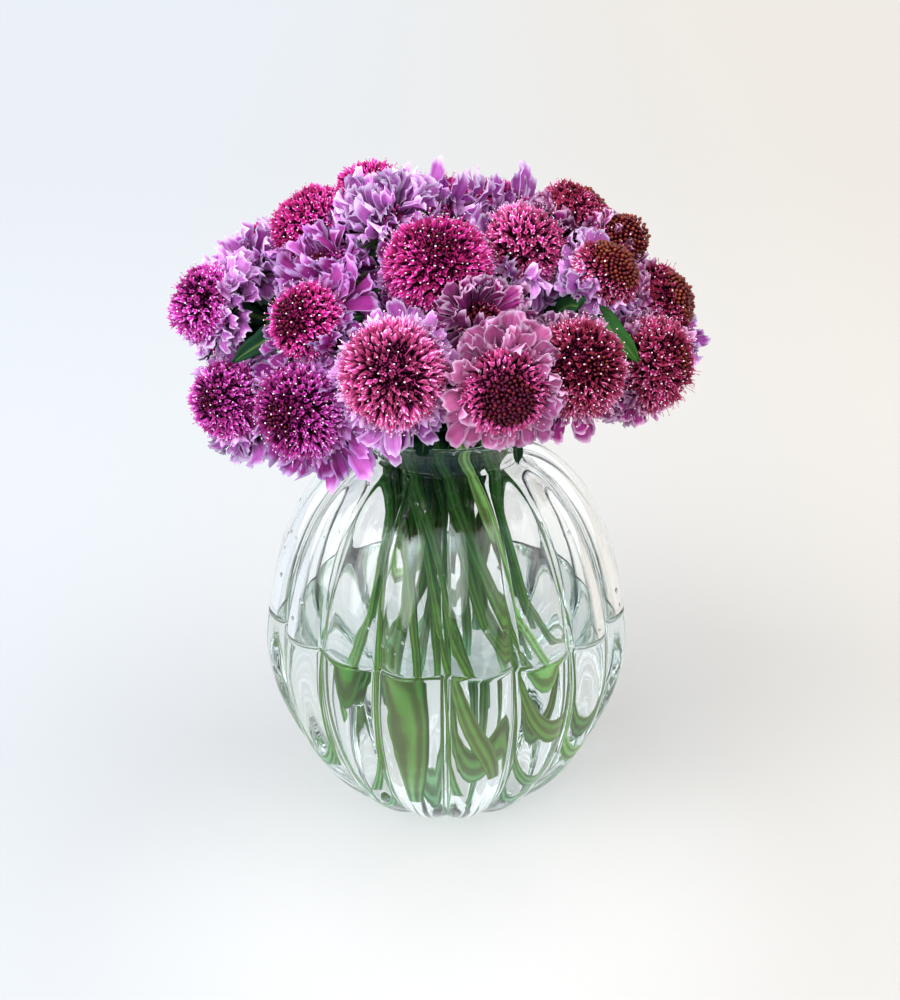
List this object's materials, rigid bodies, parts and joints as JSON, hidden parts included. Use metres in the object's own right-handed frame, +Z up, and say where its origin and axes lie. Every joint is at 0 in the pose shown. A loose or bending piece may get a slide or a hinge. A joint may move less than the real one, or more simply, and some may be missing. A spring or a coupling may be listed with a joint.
{
  "type": "scabiosa posy in a glass vase",
  "caption": "Domed posy of cut scabiosa blooms with ruffled lilac and crimson petals, their stems spiralling down into a round ribbed clear glass vase of water.",
  "frame": {"origin": "centre of the vase's flat foot, on the surface that the vase stands on", "axes": "+Z up, the front of the posy towards -Y, +X to the right of someone who faces the front"},
  "size_m": [0.2131, 0.1931, 0.2761],
  "materials": {
    "glass": "polished",
    "water": "gloss",
    "stem_green": "satin",
    "petal_crimson": "matte",
    "petal_lilac": "matte",
    "petal_maroon": "matte",
    "bud_brown": "matte"
  },
  "bodies": {
    "root": {"vase": "glass", "water": "water", "stem_01": "stem_green", "bloom_01": "petal_crimson", "stem_02": "stem_green", "bloom_02": "petal_lilac", "stem_03": "stem_green", "bloom_03": "petal_crimson", "stem_04": "stem_green", "bloom_04": "petal_crimson", "stem_05": "stem_green", "bloom_05": "petal_crimson", "stem_06": "stem_green", "bloom_06": "petal_lilac", "stem_07": "stem_green", "bloom_07": "petal_lilac", "stem_08": "stem_green", "bloom_08": "petal_lilac", "stem_09": "stem_green", "bloom_09": "petal_maroon", "stem_10": "stem_green", "bloom_10": "bud_brown", "stem_11": "stem_green", "bloom_11": "petal_crimson", "stem_12": "stem_green", "bloom_12": "petal_crimson", "stem_13": "stem_green", "bloom_13": "petal_maroon", "stem_14": "stem_green", "bloom_14": "petal_maroon", "stem_15": "stem_green", "bloom_15": "petal_crimson", "stem_16": "stem_green", "bloom_16": "petal_crimson", "stem_17": "stem_green", "bloom_17": "petal_crimson", "stem_18": "stem_green", "bloom_18": "petal_crimson", "stem_19": "stem_green", "bloom_19": "petal_crimson", "stem_20": "stem_green", "bloom_20": "petal_crimson", "stem_21": "stem_green", "bloom_21": "petal_maroon", "stem_22": "stem_green", "bloom_22": "petal_lilac", "stem_23": "stem_green", "bloom_23": "petal_lilac", "stem_24": "stem_green", "bloom_24": "petal_crimson", "stem_25": "stem_green", "bloom_25": "petal_lilac", "stem_26": "stem_green", "bloom_26": "petal_crimson", "stem_27": "stem_green", "bloom_27": "petal_maroon", "stem_28": "stem_green", "bloom_28": "petal_crimson", "stem_29": "stem_green", "bloom_29": "petal_lilac"}
  },
  "joints": []
}
